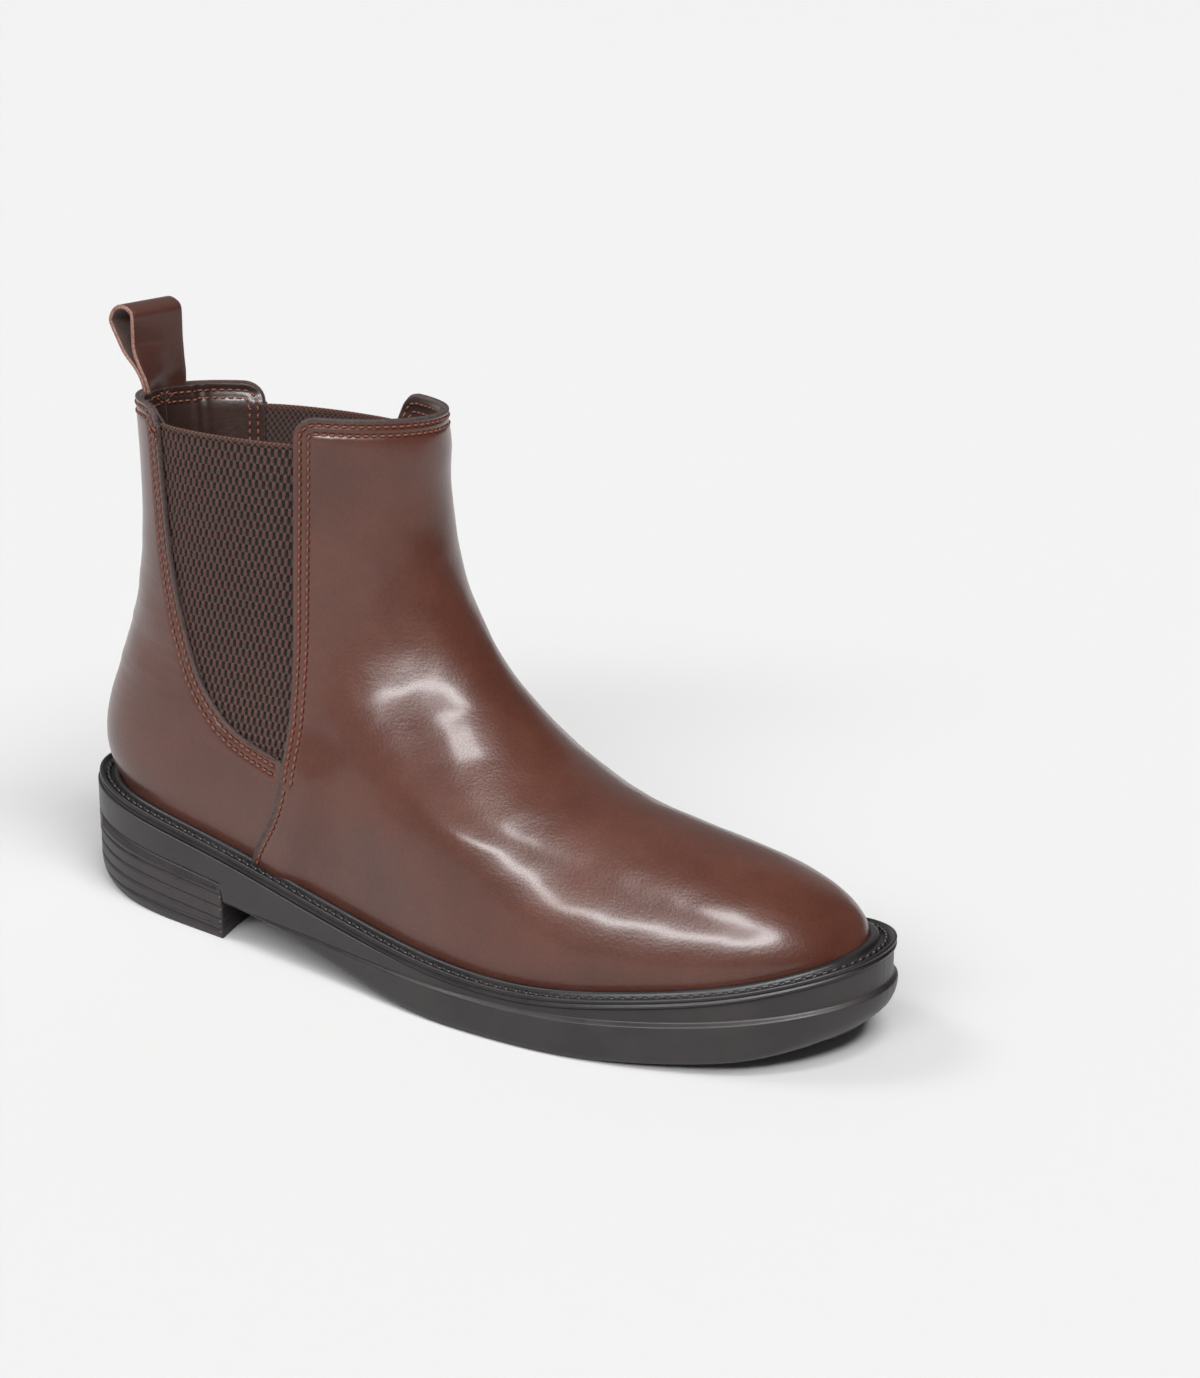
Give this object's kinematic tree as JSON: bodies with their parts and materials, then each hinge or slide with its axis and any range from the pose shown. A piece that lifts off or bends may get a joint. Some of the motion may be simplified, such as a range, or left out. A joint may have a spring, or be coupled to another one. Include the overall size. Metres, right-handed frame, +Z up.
{
  "type": "chelsea boot",
  "caption": "Ankle-height pull-on leather boot with elastic side gussets, a pull loop at the back and a low grooved heel.",
  "frame": {"origin": "middle of the boot's footprint, on the ground", "axes": "+X to the toe, +Y to the medial side, +Z up"},
  "size_m": [0.2996, 0.0998, 0.204],
  "materials": {
    "upper_leather": "smooth full-grain calf, mid reddish brown, semi-gloss",
    "lining_leather": "soft dark brown lining leather",
    "elastic_webbing": "woven elastic webbing, brown ribs over black",
    "loop_leather": "folded leather strap, smooth outside, suede inside",
    "outsole_rubber": "black satin rubber",
    "heel_rubber": "black satin rubber, grooved",
    "welt_rubber": "black satin welt with stitching marks",
    "cork": "ground cork filler",
    "shank_steel": "spring steel",
    "insole_fibreboard": "pressed fibre board",
    "sock_leather": "brown leather sock liner",
    "stiffener": "thermoplastic stiffener"
  },
  "bodies": {
    "foot": {"cork_filler_heel": "cork", "gusset_lateral": "elastic_webbing", "gusset_medial": "elastic_webbing", "heel_block": "heel_rubber", "heel_counter": "stiffener", "heel_top_piece": "heel_rubber", "insole_board_heel": "insole_fibreboard", "outsole_waist": "outsole_rubber", "quarter_lateral_heel": "upper_leather", "quarter_lining_lateral_heel": "lining_leather", "quarter_lining_medial_heel": "lining_leather", "quarter_medial_heel": "upper_leather", "sock_liner_heel": "sock_leather", "steel_shank": "shank_steel", "vamp_crease": "upper_leather", "vamp_lining_crease": "lining_leather", "vamp_lining_shaft": "lining_leather", "vamp_shaft": "upper_leather", "welt_heel": "welt_rubber"},
    "forepart": {"cork_filler_forepart": "cork", "insole_board_forepart": "insole_fibreboard", "outsole_forepart": "outsole_rubber", "sock_liner_forepart": "sock_leather", "toe_puff": "stiffener", "vamp_lining_toe": "lining_leather", "vamp_toe": "upper_leather", "welt_forepart": "welt_rubber"},
    "shaft_back": {"quarter_lateral_shaft": "upper_leather", "quarter_lining_lateral_shaft": "lining_leather", "quarter_lining_medial_shaft": "lining_leather", "quarter_medial_shaft": "upper_leather", "pull_loop_tails": "loop_leather"},
    "loop": {"pull_loop": "loop_leather"}
  },
  "joints": [
    {"name": "toe_flex", "type": "hinge", "parent": "foot", "child": "forepart", "pos_m": [0.05552, 0, 0.02142], "axis": [0, -1, 0], "range_deg": [0, 30], "stiffness_Nm_per_rad": 9, "deforming": ["vamp_crease", "vamp_lining_crease"]},
    {"name": "collar_spread", "type": "hinge", "parent": "foot", "child": "shaft_back", "pos_m": [-0.13716, 0, 0.09044], "axis": [0, -1, 0], "range_deg": [0, 10], "stiffness_Nm_per_rad": 6, "deforming": ["gusset_lateral", "gusset_medial"]},
    {"name": "loop_swing", "type": "hinge", "parent": "shaft_back", "child": "loop", "pos_m": [-0.1296, 0.00638, 0.17808], "axis": [0.2753, 0.9613, 0.013], "range_deg": [-35, 50], "stiffness_Nm_per_rad": 0.02}
  ]
}
